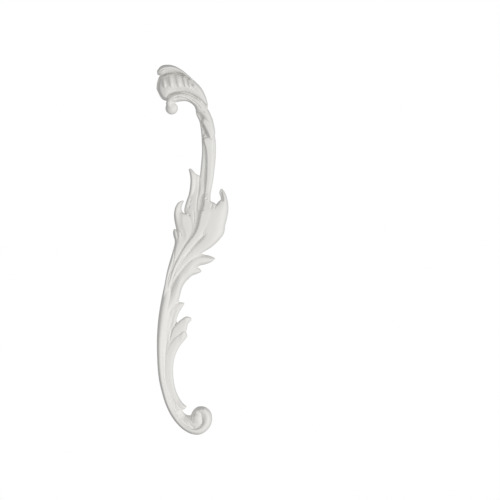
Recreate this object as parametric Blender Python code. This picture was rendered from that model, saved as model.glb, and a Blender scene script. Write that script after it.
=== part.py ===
# Scroll onlay: one moulded relief with a fluted shell, a wrapped stem, a spray of lobes and a foot scroll
# Metres, +Z up. The carved face looks to -Y, the flat back lies on y = 0, and the origin is on the back.
import math

import bmesh
import bpy
import numpy as np

# Driving dimensions
HEIGHT = 0.360
SHELL_DEPTH = 0.0150
LIP_RISE = 0.0020
HOOD_DEPTH = 0.0140
FLUTE_RISE = 0.0018
SCROLL_DEPTH = 0.0140
KNOB_DEPTH = 0.0105
KNOB_RADIUS = 0.0060
WRAP_DEPTH = 0.0118
STEM_DEPTH = 0.0130
INNER_STEM_DEPTH = 0.0092
TALL_LEAF_DEPTH = 0.0120
LEAF_RIDGE_DEPTH = 0.0090
POUCH_DEPTH = 0.0100
OUTER_LOBE_DEPTH = 0.0120
BARB_TIP_DEPTH = 0.0110
LARGE_LOBE_DEPTH = 0.0150
STRAND_DEPTH = 0.0152
TOOTH_DEPTH = 0.0150
LOW_LOBE_DEPTH = 0.0115
LOW_TIP_DEPTH = 0.0095
RIB_DEPTH = 0.0130
BED_DEPTH = 0.0095
BARB_DEPTH = 0.0072
END_BARB_DEPTH = 0.0076
EYE_DEPTH = 0.0130
EYE_RADIUS = 0.0056
EYE_BOW = 0.0042
EDGE_DEPTH = 0.0030
WEB_DEPTH = 0.0116
WEB_RADIUS = 0.0102
WEB_BOW = 0.0022

# How far each form is built past the back before the back is cut flat
BACKING = 0.0040

# A form's edge is never deeper than this share of its crest there
EDGE_SHARE = 0.8

# Rows of faces from the foot of a dome to its top, and sides around it
DOME_ROWS = 6
DOME_SIDES = 20

# Each row is one station of a form: the left edge x, z and the right edge x, z
# in thousandths of the height, and the crest in hundredths of the form's depth.
# Left and right are as seen from the front while going from the first row to the last.
# Outer strip of the upper stem, from under the leaf wraps down into the large lobe
STEM = (
    (30.5, 312.1, 57.4, 322.9, 59),
    (29.6, 294.6, 62.8, 296.0, 78),
    (35.6, 274.4, 63.6, 271.7, 74),
    (38.5, 247.4, 62.5, 242.0, 74),
    (38.5, 215.1, 59.6, 215.1, 74),
    (37.7, 188.1, 56.1, 188.1, 78),
    (34.5, 161.2, 51.5, 162.5, 81),
    (31.8, 139.6, 48.8, 145.0, 89),
    (31.3, 127.5, 49.6, 131.5, 93),
    (29.6, 116.7, 56.1, 120.8, 96),
    (23.7, 96.5, 58.8, 96.5, 100),
)

# Lower of the two leaf wraps that clasp the upper stem
WRAP_LOW = (
    (31.8, 367.4, 43.9, 370.1, 70),
    (28.0, 352.6, 55.0, 353.1, 92),
    (24.8, 346.1, 56.3, 347.2, 96),
    (30.2, 333.7, 59.3, 333.7, 100),
    (39.9, 316.2, 61.5, 314.8, 100),
    (46.9, 301.3, 56.1, 294.6, 96),
)

# Low strip along the inner side of the upper stem
INNER_STEM = (
    (9.2, 382.2, 34.5, 387.6, 100),
    (10.2, 367.4, 42.6, 371.4, 94),
    (18.9, 347.2, 48.0, 347.2, 88),
    (23.5, 320.2, 50.7, 320.2, 75),
    (25.6, 290.6, 50.7, 290.6, 75),
    (26.1, 263.6, 50.7, 263.6, 75),
    (24.0, 234.0, 48.0, 234.0, 75),
    (21.6, 209.7, 45.3, 209.7, 75),
    (19.1, 182.7, 42.6, 182.7, 81),
    (15.6, 155.8, 39.9, 155.8, 100),
    (10.2, 126.1, 34.5, 126.1, 100),
    (7.5, 99.2, 26.4, 99.2, 88),
)

# Tall leaf beside the stem, with a hooked tip
CENTRE_LEAF = (
    (-9.7, 217.8, -4.3, 219.7, 42),
    (-7.0, 207.0, 10.2, 204.9, 50),
    (-4.9, 192.2, 22.4, 197.6, 55),
    (-5.4, 174.7, 30.5, 174.7, 62),
    (-8.6, 153.1, 37.2, 153.1, 70),
    (-14.0, 134.2, 41.2, 134.2, 80),
    (-20.5, 112.7, 41.2, 112.7, 92),
    (-18.1, 93.8, 37.2, 93.8, 98),
    (-10.0, 72.2, 34.5, 72.2, 100),
    (-11.3, 48.0, 27.8, 42.6, 100),
    (-22.1, 23.7, 14.3, 15.6, 98),
    (-31.5, -0.5, -4.6, -11.3, 93),
    (-41.0, -22.1, -20.8, -32.9, 83),
    (-49.1, -43.7, -34.2, -54.4, 67),
)

# Raised rib along the outer edge of the tall leaf
LEAF_RIDGE = (
    (-10.0, 217.3, -4.9, 219.9, 67),
    (-7.3, 207.0, 3.8, 211.6, 89),
    (-5.1, 192.2, 8.9, 196.2, 100),
    (-5.7, 174.7, 9.4, 174.7, 100),
    (-8.9, 153.1, 7.5, 153.1, 100),
    (-13.2, 136.9, 6.2, 136.9, 89),
)

# Oval swelling at the foot of the tall leaf
POUCH = (
    (-10.5, 146.4, 7.0, 145.0, 80),
    (-15.9, 131.5, 10.2, 130.2, 100),
    (-20.8, 114.0, 10.2, 114.0, 100),
    (-20.5, 100.5, 4.9, 97.8, 95),
    (-11.3, 91.1, -3.2, 86.3, 70),
)

# Outer lobe with its hooked tip, and the strand that runs down from it
LEFT_LOBE = (
    (-25.3, 133.7, -23.2, 131.8, 58),
    (-37.5, 127.8, -27.2, 123.5, 79),
    (-45.3, 115.9, -29.6, 112.7, 88),
    (-49.1, 99.2, -24.8, 100.3, 96),
    (-48.8, 83.0, 2.2, 95.1, 100),
    (-45.8, 66.8, 18.3, 79.0, 100),
    (-43.1, 53.4, 22.4, 56.1, 100),
    (-43.7, 34.5, 12.9, 27.8, 100),
    (-48.2, 12.9, -4.6, 0.8, 100),
    (-54.2, -8.6, -19.4, -20.8, 100),
    (-60.6, -30.2, -33.4, -41.8, 96),
    (-66.6, -51.8, -49.1, -58.5, 92),
    (-71.7, -76.0, -57.1, -85.4, 88),
    (-76.0, -100.3, -63.9, -109.7, 83),
    (-79.8, -124.5, -69.3, -132.6, 75),
    (-84.1, -151.5, -76.0, -156.9, 50),
)

# Small barb below the outer lobe
LEFT_TIP = (
    (-49.6, 56.9, -46.9, 56.1, 73),
    (-52.0, 48.0, -37.7, 48.0, 86),
    (-50.7, 37.2, -32.9, 34.5, 95),
    (-47.2, 23.7, -31.5, 18.3, 100),
    (-49.3, 7.5, -36.9, 2.2, 100),
)

# Large inner lobe with its hooked tip, down to its strand
RIGHT_LOBE = (
    (77.1, 164.7, 81.9, 163.9, 60),
    (73.0, 155.3, 88.1, 154.7, 77),
    (76.5, 142.3, 93.3, 141.2, 87),
    (76.5, 134.8, 94.9, 134.2, 90),
    (70.1, 129.4, 96.0, 128.8, 93),
    (64.7, 122.4, 96.8, 121.8, 95),
    (37.2, 111.3, 97.0, 104.6, 100),
    (29.1, 101.9, 93.8, 85.7, 100),
    (21.0, 77.6, 88.9, 66.8, 100),
    (18.3, 53.4, 84.4, 42.6, 100),
    (23.7, 35.8, 70.4, 24.5, 97),
    (12.9, 21.0, 52.0, 7.5, 90),
    (-1.9, 4.9, 30.5, -5.9, 83),
    (-16.7, -11.3, 10.2, -19.4, 80),
    (-31.5, -28.8, -11.3, -39.6, 77),
    (-45.0, -49.1, -30.2, -59.8, 73),
    (-55.8, -70.6, -45.6, -78.7, 70),
    (-63.9, -94.9, -56.6, -100.3, 63),
    (-69.3, -116.4, -63.9, -121.8, 47),
)

# Strand beside the large lobe, from the stem down
VEIN = (
    (34.5, 161.2, 50.1, 161.2, 60),
    (32.6, 141.8, 48.8, 142.3, 83),
    (31.3, 129.9, 50.4, 131.0, 88),
    (29.6, 120.8, 61.5, 122.4, 92),
    (21.8, 101.9, 66.8, 101.9, 100),
    (17.3, 81.7, 61.5, 80.3, 100),
    (13.5, 61.5, 48.0, 58.8, 100),
    (6.2, 44.5, 34.5, 41.2, 97),
    (-5.4, 27.8, 19.7, 23.7, 93),
    (-17.5, 12.1, 4.9, 7.5, 90),
    (-28.3, -4.6, -10.0, -8.6, 87),
    (-39.1, -24.8, -24.0, -28.8, 83),
    (-49.9, -46.4, -37.2, -50.4, 80),
    (-58.8, -70.6, -50.1, -74.7, 73),
    (-65.8, -97.6, -59.3, -100.3, 67),
    (-70.6, -121.8, -66.6, -124.5, 47),
)

# Small tooth between the stem and the large hook
TOOTH = (
    (51.2, 129.6, 57.7, 128.3, 70),
    (48.0, 126.1, 61.2, 125.1, 83),
    (42.6, 118.1, 72.2, 118.1, 93),
    (34.5, 99.2, 84.4, 100.5, 100),
    (31.8, 77.6, 80.3, 77.6, 80),
)

# Pointed lobe below the large one, and its strand
LOW_LOBE = (
    (60.1, -22.1, 61.5, -25.3, 52),
    (50.7, -17.3, 50.7, -32.9, 74),
    (34.5, -13.5, 35.8, -39.1, 87),
    (17.0, -10.8, 18.3, -43.4, 96),
    (-1.1, -14.0, 4.9, -55.8, 100),
    (-16.7, -26.1, -5.1, -72.2, 100),
    (-30.2, -43.7, -18.1, -86.3, 96),
    (-41.5, -63.9, -28.0, -103.0, 96),
    (-52.3, -86.8, -33.7, -124.5, 91),
    (-61.7, -111.1, -39.9, -142.3, 87),
    (-70.6, -136.7, -54.4, -159.6, 83),
    (-78.2, -165.0, -67.9, -181.1, 74),
    (-83.3, -197.3, -78.7, -208.1, 43),
)

# Small barb under the pointed lobe
LOW_TIP = (
    (23.2, -54.4, 24.8, -59.0, 72),
    (11.1, -46.1, 13.7, -64.4, 89),
    (-4.6, -47.7, 0.0, -69.5, 100),
    (-20.8, -62.5, -14.6, -82.5, 83),
    (-32.9, -81.4, -30.2, -92.2, 44),
)

# Outer rib, from the strands down and around the ring of the foot scroll
BAND = (
    (-72.8, -84.1, -57.1, -97.6, 54),
    (-76.5, -100.3, -52.8, -113.7, 69),
    (-80.9, -120.5, -52.3, -132.6, 77),
    (-88.1, -159.6, -59.8, -165.0, 78),
    (-94.1, -210.8, -69.0, -214.8, 78),
    (-95.7, -248.5, -74.4, -249.9, 78),
    (-95.1, -286.3, -76.0, -286.3, 78),
    (-93.3, -321.3, -74.9, -320.2, 78),
    (-89.5, -353.6, -71.7, -349.9, 79),
    (-81.9, -386.0, -65.2, -379.5, 82),
    (-71.7, -418.3, -56.6, -409.2, 85),
    (-58.8, -445.3, -44.7, -432.9, 88),
    (-42.0, -468.7, -29.6, -454.4, 92),
    (-22.1, -487.1, -12.9, -469.5, 96),
    (-0.5, -497.6, 2.2, -473.3, 100),
    (21.6, -498.4, 14.6, -470.6, 100),
    (40.7, -486.3, 21.0, -464.7, 100),
    (52.8, -464.2, 23.7, -455.5, 100),
    (49.6, -438.3, 22.6, -448.5, 98),
    (33.4, -424.3, 18.3, -442.6, 96),
    (15.6, -423.7, 12.9, -438.3, 92),
    (3.8, -432.3, 8.6, -441.5, 88),
    (-2.7, -444.2, 3.8, -448.0, 77),
    (-4.3, -454.4, 2.2, -457.7, 62),
)

# Low bed of the leaf that lies inside the outer rib
LEAF_BED = (
    (-70.6, -119.1, -36.1, -131.3, 69),
    (-78.7, -159.6, -36.1, -163.6, 67),
    (-85.4, -194.6, -42.6, -196.0, 66),
    (-86.8, -221.6, -26.1, -220.2, 66),
    (-88.1, -256.6, -38.3, -259.3, 67),
    (-88.1, -302.4, -50.7, -302.4, 69),
    (-84.1, -345.6, -51.5, -342.9, 72),
    (-74.7, -381.9, -45.0, -379.2, 74),
    (-63.9, -410.2, -34.2, -407.5, 76),
    (-53.1, -435.8, -28.0, -434.0, 80),
    (-38.3, -458.8, -15.4, -446.1, 91),
    (-10.0, -484.4, 10.2, -448.0, 100),
    (10.2, -485.7, 21.0, -453.4, 74),
)

# First barb of the inner leaf
BARB_HIGH = (
    (-21.6, -143.4, -22.1, -147.2, 62),
    (-32.9, -141.8, -28.0, -156.3, 92),
    (-49.1, -144.5, -36.7, -170.9, 100),
    (-65.2, -158.2, -44.7, -191.9, 95),
    (-74.7, -183.8, -59.8, -213.5, 46),
)

# Second barb of the inner leaf
BARB_MID = (
    (-3.2, -183.8, -2.2, -190.3, 64),
    (-14.0, -180.3, -10.8, -198.4, 93),
    (-28.0, -186.5, -17.0, -220.2, 100),
    (-43.7, -200.0, -31.5, -233.7, 100),
    (-61.2, -220.2, -49.1, -251.2, 86),
    (-74.7, -248.5, -65.2, -275.5, 43),
)

# Third barb of the inner leaf
BARB_LOW = (
    (-13.5, -232.1, -14.6, -236.1, 64),
    (-18.3, -220.2, -22.6, -245.8, 93),
    (-35.6, -227.0, -34.8, -261.5, 100),
    (-54.4, -243.1, -44.7, -281.4, 100),
    (-69.3, -267.4, -50.9, -305.1, 93),
    (-77.4, -294.3, -53.4, -332.1, 79),
    (-78.7, -324.0, -59.8, -361.7, 43),
)

# Last barb, over the foot scroll
BARB_END = (
    (-15.9, -422.9, -17.0, -426.7, 80),
    (-23.2, -417.0, -22.6, -430.5, 96),
    (-32.1, -405.7, -31.3, -434.0, 100),
    (-43.1, -384.6, -46.4, -423.7, 80),
    (-53.1, -356.3, -59.8, -399.5, 40),
)

# Rolled lip over the shell
LIP = (
    (-94.9, 483.6, -94.3, 473.0, 71),
    (-86.8, 494.1, -84.1, 470.4, 91),
    (-66.6, 499.7, -66.6, 475.7, 100),
    (-45.0, 494.9, -46.9, 477.6, 100),
    (-24.8, 483.0, -28.8, 474.9, 97),
    (-10.0, 470.6, -14.0, 465.0, 91),
    (2.2, 459.8, 0.5, 456.6, 82),
)

# Body of the shell, from its free edge down to the stem
BELLY = (
    (-95.7, 449.6, -96.8, 434.8, 42),
    (-91.4, 464.4, -87.3, 414.0, 68),
    (-78.7, 475.2, -72.5, 403.2, 86),
    (-62.5, 481.1, -58.8, 409.7, 97),
    (-43.7, 481.9, -42.6, 415.6, 100),
    (-24.8, 476.5, -24.0, 416.2, 100),
    (-7.3, 465.8, -5.9, 411.3, 98),
    (11.6, 450.9, 10.2, 402.2, 94),
    (26.4, 434.0, 23.2, 391.9, 89),
    (36.4, 413.2, 32.6, 381.1, 84),
    (42.0, 393.0, 39.6, 370.6, 80),
)

# The shell's rounded edge on its right
HOOD = (
    (-10.5, 467.7, -9.2, 441.5, 57),
    (-0.5, 460.4, -2.7, 425.3, 87),
    (11.6, 450.9, 5.9, 410.5, 100),
    (26.4, 434.0, 18.3, 397.3, 99),
    (36.4, 413.2, 28.6, 384.9, 94),
    (42.0, 393.0, 37.2, 373.0, 89),
)

# Scroll band under the shell, from the knob to the stem
SCROLL = (
    (-63.1, 374.1, -49.6, 377.9, 60),
    (-69.0, 386.0, -48.0, 386.5, 74),
    (-70.9, 397.0, -53.1, 391.9, 79),
    (-65.2, 410.2, -51.8, 396.2, 86),
    (-51.8, 419.9, -43.7, 398.7, 93),
    (-32.9, 424.3, -31.5, 401.1, 100),
    (-14.0, 422.1, -16.7, 401.6, 100),
    (4.9, 412.9, -4.6, 396.8, 96),
    (21.6, 401.3, 5.9, 386.5, 95),
    (33.4, 390.3, 10.8, 373.6, 93),
    (44.2, 376.3, 19.4, 366.3, 91),
    (50.7, 362.8, 27.0, 358.0, 90),
    (55.0, 348.8, 32.9, 350.1, 87),
    (56.6, 339.1, 46.4, 340.7, 79),
)

# Centres of the round forms, in thousandths of the height
KNOB_AT = (-55.8, 382.2)
EYE_AT = (14.6, -454.7)
WEB_AT = (21.0, -459.0)

# Flutes of the shell: top x, z and foot x, z and half width in thousandths of the height,
# then the share of the shell's depth they stand on, in hundredths
FLUTES = (
    (-76.5, 463.1, -72.8, 434.5, 7.3, 88),
    (-59.3, 471.7, -55.0, 435.0, 9.7, 97),
    (-40.4, 472.8, -34.5, 435.8, 10.8, 100),
    (-23.7, 468.5, -16.7, 435.8, 7.3, 100.5),
    (-10.8, 459.3, -4.9, 435.8, 5.9, 99.5),
    (0.5, 450.1, 6.5, 435.6, 5.4, 97.5),
)

# Along one flute: how far down it, the share of its half width, and the share of its rise
FLUTE_RUN = (
    (0.0, 0.75, -2.3),
    (0.2, 0.95, -1.0),
    (0.45, 1.0, 0.1),
    (0.75, 0.95, 0.7),
    (0.92, 0.7, 0.25),
    (1.0, 0.35, -0.9),
)


def share(value):
    """A length from thousandths of the height."""
    return value / 1000.0 * HEIGHT


def smooth_rows(rows, steps):
    """Stations along a smooth curve through the rows, with each row kept."""
    rows = np.array(rows, dtype=float)
    middle = (rows[:, 0:2] + rows[:, 2:4]) / 2.0
    gaps = np.linalg.norm(np.diff(middle, axis=0), axis=1)
    where = np.concatenate(([0.0], np.cumsum(np.maximum(gaps, 1.0))))
    slopes = np.gradient(rows, where, axis=0)
    result = []
    for index in range(len(rows) - 1):
        length = where[index + 1] - where[index]
        for step in range(steps):
            t = step / steps
            start = (1 + 2 * t) * (1 - t) ** 2
            finish = t * t * (3 - 2 * t)
            leave = t * (1 - t) ** 2 * length
            arrive = t * t * (t - 1) * length
            result.append(
                start * rows[index] + finish * rows[index + 1]
                + leave * slopes[index] + arrive * slopes[index + 1]
            )
    result.append(rows[-1])
    return np.array(result)


def section(depth, edge, crest, fullness, count):
    """Front profile of a form: places across it from 0 to 1, with their depths."""
    profile = []
    for index in range(count):
        angle = math.pi * index / (count - 1)
        across = 0.5 - 0.5 * math.cos(angle)
        if across < crest:
            off = (crest - across) / crest
        else:
            off = (across - crest) / (1.0 - crest)
        rise = max(0.0, 1.0 - off ** fullness) ** (1.0 / fullness)
        profile.append((across, edge + (depth - edge) * rise))
    return profile


def add_form(name, rows, depth, group, crest=0.5, fullness=2.2, steps=2, count=7):
    """A closed solid lofted through the stations, from behind the back to its crest line."""
    stations = smooth_rows(rows, steps)
    bm = bmesh.new()
    rings = []
    for left_x, left_z, right_x, right_z, height in stations:
        crest_depth = depth * height / 100.0
        edge = min(EDGE_DEPTH, EDGE_SHARE * crest_depth)
        ring = []
        for across, level in section(crest_depth, edge, crest, fullness, count):
            x = share(left_x + (right_x - left_x) * across)
            z = share(left_z + (right_z - left_z) * across)
            ring.append(bm.verts.new((x, -level, z)))
        ring.append(bm.verts.new((share(right_x), BACKING, share(right_z))))
        ring.append(bm.verts.new((share(left_x), BACKING, share(left_z))))
        rings.append(ring)
    size = count + 2
    for near, far in zip(rings, rings[1:]):
        for index in range(size):
            after = (index + 1) % size
            bm.faces.new((near[index], near[after], far[after], far[index]))
    bm.faces.new(rings[0])
    bm.faces.new(rings[-1])
    bmesh.ops.triangulate(bm, faces=[face for face in bm.faces if len(face.verts) == 4])
    bmesh.ops.recalc_face_normals(bm, faces=bm.faces)
    return finish_mesh(name, bm, group)


def add_dome(name, centre, radius, depth, bow, group):
    """A rounded end: a bowed cap on a round post that runs behind the back."""
    profile = [(0.0, BACKING), (radius, BACKING)]
    for index in range(DOME_ROWS + 1):
        angle = math.pi / 2.0 * index / DOME_ROWS
        profile.append((radius * math.cos(angle), -(depth - bow) - bow * math.sin(angle)))
    bm = bmesh.new()
    verts = [bm.verts.new((across, level, 0.0)) for across, level in profile]
    edges = [bm.edges.new(pair) for pair in zip(verts, verts[1:])]
    bmesh.ops.spin(
        bm, geom=verts + edges, cent=(0.0, 0.0, 0.0), axis=(0.0, 1.0, 0.0),
        angle=2.0 * math.pi, steps=DOME_SIDES, use_merge=True,
    )
    bmesh.ops.remove_doubles(bm, verts=bm.verts, dist=1e-6)
    bmesh.ops.translate(bm, verts=bm.verts, vec=(share(centre[0]), 0.0, share(centre[1])))
    bmesh.ops.recalc_face_normals(bm, faces=bm.faces)
    return finish_mesh(name, bm, group)


def finish_mesh(name, bm, group):
    """Turns the working mesh into an object in the given collection."""
    mesh = bpy.data.meshes.new(name)
    bm.to_mesh(mesh)
    bm.free()
    obj = bpy.data.objects.new(name, mesh)
    group.objects.link(obj)
    return obj


def between(first, last, part):
    """The point that lies at the given share of the way from first to last."""
    return tuple(a + (b - a) * part for a, b in zip(first, last))


def add_flutes(group):
    """The row of rounded flutes down the shell, under its lip."""
    depth = SHELL_DEPTH + FLUTE_RISE
    flutes = []
    for top_x, top_z, foot_x, foot_z, half_width, stand in FLUTES:
        rows = []
        for down, width, rise in FLUTE_RUN:
            x, z = between((top_x, top_z), (foot_x, foot_z), down)
            half = half_width * width
            level = (SHELL_DEPTH * stand + 100.0 * FLUTE_RISE * rise) / depth
            rows.append((x - half, z, x + half, z, level))
        flutes.append(add_form(f"flute_{len(flutes) + 1}", rows, depth, group, fullness=2.4))
    return flutes


def combine(target, tool, operation):
    """Applies one exact Boolean to the target and removes the tool."""
    modifier = target.modifiers.new(tool.name, "BOOLEAN")
    modifier.operation = operation
    modifier.solver = "EXACT"
    modifier.object = tool
    bpy.context.view_layer.objects.active = target
    bpy.ops.object.modifier_apply(modifier=modifier.name)
    bpy.data.objects.remove(tool, do_unlink=True)


def back_block(group):
    """The block behind the back plane, which cuts the back flat."""
    bm = bmesh.new()
    bmesh.ops.create_cube(bm, size=1.0)
    size = (HEIGHT, 2.0 * BACKING, 1.4 * HEIGHT)
    bmesh.ops.scale(bm, verts=bm.verts, vec=size)
    bmesh.ops.translate(bm, verts=bm.verts, vec=(0.0, BACKING, 0.0))
    return finish_mesh("back_block", bm, group)


def white_moulding():
    """Smooth white primed moulding, matte."""
    material = bpy.data.materials.new("white_primed_moulding")
    material.use_nodes = True
    shader = material.node_tree.nodes["Principled BSDF"]
    shader.inputs["Base Color"].default_value = (0.83, 0.83, 0.82, 1.0)
    shader.inputs["Roughness"].default_value = 0.6
    shader.inputs["Metallic"].default_value = 0.0
    return material


def add_forms(group):
    """Every carved form, each closed by itself."""
    forms = [
        add_form("rib", BAND, RIB_DEPTH, group, crest=0.42, fullness=2.1),
        add_form("leaf_bed", LEAF_BED, BED_DEPTH, group, fullness=3.5),
        add_form("low_lobe", LOW_LOBE, LOW_LOBE_DEPTH, group, crest=0.55),
        add_form("low_tip", LOW_TIP, LOW_TIP_DEPTH, group),
        add_form("outer_lobe", LEFT_LOBE, OUTER_LOBE_DEPTH, group, crest=0.3, fullness=3.0),
        add_form("barb_tip", LEFT_TIP, BARB_TIP_DEPTH, group),
        add_form("tall_leaf", CENTRE_LEAF, TALL_LEAF_DEPTH, group, fullness=3.5),
        add_form("leaf_ridge", LEAF_RIDGE, LEAF_RIDGE_DEPTH, group, crest=0.4),
        add_form("pouch", POUCH, POUCH_DEPTH, group, crest=0.28, fullness=2.8),
        add_form("inner_stem", INNER_STEM, INNER_STEM_DEPTH, group, crest=0.35, fullness=3.0),
        add_form("stem", STEM, STEM_DEPTH, group, crest=0.2, fullness=3.8),
        add_form("large_lobe", RIGHT_LOBE, LARGE_LOBE_DEPTH, group, crest=0.45, fullness=3.4),
        add_form("strand", VEIN, STRAND_DEPTH, group, crest=0.2, fullness=4.0),
        add_form("tooth", TOOTH, TOOTH_DEPTH, group, fullness=4.0),
        add_form("low_wrap", WRAP_LOW, WRAP_DEPTH, group, crest=0.3, fullness=3.0),
        add_form("scroll", SCROLL, SCROLL_DEPTH, group, crest=0.45, fullness=2.6),
        add_form("belly", BELLY, SHELL_DEPTH, group, crest=0.58, fullness=1.6),
        add_form("hood", HOOD, HOOD_DEPTH, group, crest=0.4, fullness=2.6),
        add_form("lip", LIP, SHELL_DEPTH + LIP_RISE, group, fullness=2.0),
        add_form("barb_high", BARB_HIGH, BARB_DEPTH, group),
        add_form("barb_mid", BARB_MID, BARB_DEPTH, group, crest=0.24, fullness=2.6),
        add_form("barb_low", BARB_LOW, BARB_DEPTH, group, crest=0.24, fullness=2.6),
        add_form("barb_end", BARB_END, END_BARB_DEPTH, group),
        add_dome("knob", KNOB_AT, KNOB_RADIUS, KNOB_DEPTH, KNOB_RADIUS, group),
        add_dome("eye", EYE_AT, EYE_RADIUS, EYE_DEPTH, EYE_BOW, group),
        add_dome("foot_web", WEB_AT, WEB_RADIUS, WEB_DEPTH, WEB_BOW, group),
    ]
    return forms + add_flutes(group)


def main():
    for obj in list(bpy.data.objects):
        bpy.data.objects.remove(obj, do_unlink=True)
    parts = bpy.data.collections.new("scroll_onlay_parts")
    cutters = bpy.data.collections.new("cutters")
    for group in (parts, cutters):
        bpy.context.scene.collection.children.link(group)
    forms = add_forms(cutters)
    onlay = forms[0]
    for form in forms[1:]:
        combine(onlay, form, "UNION")
    combine(onlay, back_block(cutters), "DIFFERENCE")
    cutters.objects.unlink(onlay)
    parts.objects.link(onlay)
    onlay.name = "scroll_onlay"
    onlay.data.name = "scroll_onlay"
    onlay.data.materials.clear()
    onlay.data.materials.append(white_moulding())


main()
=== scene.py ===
# Scroll onlay at full detail: the moulded relief, its matte primer, the light, the floor and the camera
import math

import bpy
import numpy as np
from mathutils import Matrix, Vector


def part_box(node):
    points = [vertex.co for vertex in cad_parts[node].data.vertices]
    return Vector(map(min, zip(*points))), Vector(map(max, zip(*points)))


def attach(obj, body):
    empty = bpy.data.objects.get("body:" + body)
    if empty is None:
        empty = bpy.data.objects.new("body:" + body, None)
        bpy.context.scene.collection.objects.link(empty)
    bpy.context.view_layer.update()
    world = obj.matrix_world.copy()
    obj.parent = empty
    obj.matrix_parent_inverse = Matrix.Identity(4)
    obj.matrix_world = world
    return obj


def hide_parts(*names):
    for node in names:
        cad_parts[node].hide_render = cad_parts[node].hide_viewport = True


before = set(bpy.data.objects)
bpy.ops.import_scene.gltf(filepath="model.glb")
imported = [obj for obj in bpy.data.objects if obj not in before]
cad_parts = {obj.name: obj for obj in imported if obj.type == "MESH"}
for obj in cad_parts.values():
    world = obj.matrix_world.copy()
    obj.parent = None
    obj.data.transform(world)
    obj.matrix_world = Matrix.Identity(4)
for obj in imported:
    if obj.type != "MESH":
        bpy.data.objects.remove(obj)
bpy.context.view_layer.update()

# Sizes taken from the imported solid, whose box is this many thousandths of the drawing height tall
BOX_TALL = 999.0
BOX_LOW, BOX_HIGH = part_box("scroll_onlay")
THOUSANDTH = (BOX_HIGH[2] - BOX_LOW[2]) / BOX_TALL
RELIEF = BOX_HIGH[1] - BOX_LOW[1]

# Depths of the forms, from the flat back to their crests, in metres
SHELL_DEPTH = 0.0150
LIP_RISE = 0.0020
HOOD_DEPTH = 0.0140
FLUTE_RISE = 0.0018
SCROLL_DEPTH = 0.0140
KNOB_DEPTH = 0.0105
KNOB_RADIUS = 0.0060
WRAP_DEPTH = 0.0118
STEM_DEPTH = 0.0130
INNER_STEM_DEPTH = 0.0092
TALL_LEAF_DEPTH = 0.0120
LEAF_RIDGE_DEPTH = 0.0090
POUCH_DEPTH = 0.0100
OUTER_LOBE_DEPTH = 0.0120
BARB_TIP_DEPTH = 0.0110
LARGE_LOBE_DEPTH = 0.0150
STRAND_DEPTH = 0.0152
TOOTH_DEPTH = 0.0150
LOW_LOBE_DEPTH = 0.0115
LOW_TIP_DEPTH = 0.0095
RIB_DEPTH = 0.0130
BED_DEPTH = 0.0095
BARB_DEPTH = 0.0072
END_BARB_DEPTH = 0.0076
EYE_DEPTH = 0.0130
EYE_RADIUS = 0.0056
EYE_BOW = 0.0042
WEB_DEPTH = 0.0116
WEB_RADIUS = 0.0102
WEB_BOW = 0.0022

# A form's outer edge stands this high, or this share of its crest where that is less
EDGE_DEPTH = 0.0030
EDGE_SHARE = 0.8

# How far each form is built past the back before the back is cut flat
BACKING = 0.0030

# Fineness of each form: cells across it, stations between two rows, and the faces of a ball end
ACROSS = 20
ALONG = 7
BALL_SEGMENTS = 40
BALL_RINGS = 24

# Fineness of the whole casting, and the most triangles it may have
VOXEL = 0.00029
TRIANGLES = 185000

# Lengths under this count as nothing, and a face whose normal's y is over this belongs to the flat back
TOLERANCE = 1e-6
BACK_FACING = 0.999

# Each round of easing takes a point this share of the way to the middle of its neighbours
EASE_FACTOR = 0.5
MOULD_ROUNDS = 4
SHELL_ROUNDS = 8
CARVING_ROUNDS = 2

# The shell's softer wear fades out over this width, in this many levels
SHELL_SOFTNESS = 0.0030
SHELL_LEVELS = 10

# Fine lines: points between two given ones, and the width of the step in a line cut down on one side
LINE_STEPS = 8
STEP_WIDTH = 0.0008

# Powers that shape a line: the fall of a one-sided cut, the roundness of a groove and the fade at the ends
CUT_POWER = 1.3
GROOVE_POWER = 1.5
FADE_POWER = 0.7

# The fade at each end, as shares of the line's length: at least and at most, and in half widths between
LEAST_FADE = 0.14
MOST_FADE = 0.5
FADE_HALF_WIDTHS = 1.2

# Points of a wall that a cut would press together keep this share of their distance
KEPT_APART = 0.05

# The primer's colours and roughness, and the sizes and heights of its patterns in metres
PRIMER_LIGHT = "#F4F3F0"
PRIMER_DARK = "#ECEBE8"
LEAST_ROUGHNESS = 0.52
MOST_ROUGHNESS = 0.68
MOTTLE_SIZE = 0.030
PEBBLE_SIZE = 0.0006
PEBBLE_HEIGHT = 0.0001
SKIN_WAVE = 0.006
SKIN_WAVE_HEIGHT = 0.0006

# Floor, lights and surround
FLOOR_COLOUR = "#E9E8E6"
FLOOR_ROUGHNESS = 0.85
FLOOR_RADIUS = 0.42
FLOOR_THICKNESS = 0.012
FLOOR_SEGMENTS = 96
FLOOR_LEVEL = -0.45
KEY_PLACE = (1.45, -1.45, -0.50)
KEY_SIZE = 0.7
KEY_WATTS = 18.8
SIDE_PLACE = (0.1, -2.2, 0.1)
SIDE_SIZE = 1.2
SIDE_WATTS = 8.0
FILL_STRENGTH = 0.37

# The picture is taken as 500 by 500, with the onlay's middle at this pixel and this tall in it
PICTURE_SIZE_PX = 500.0
ORIGIN_PX = (192.2, 249.8)
PICTURE_HEIGHT_PX = 371.0
CAMERA_DISTANCE = 3.0
SENSOR_WIDTH_MM = 36.0

# Each row is one station of a form: the left edge x, z and the right edge x, z
# in thousandths of the height, and the crest in hundredths of the form's depth.
# Left and right are as seen from the front while going from the first row to the last.

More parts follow.
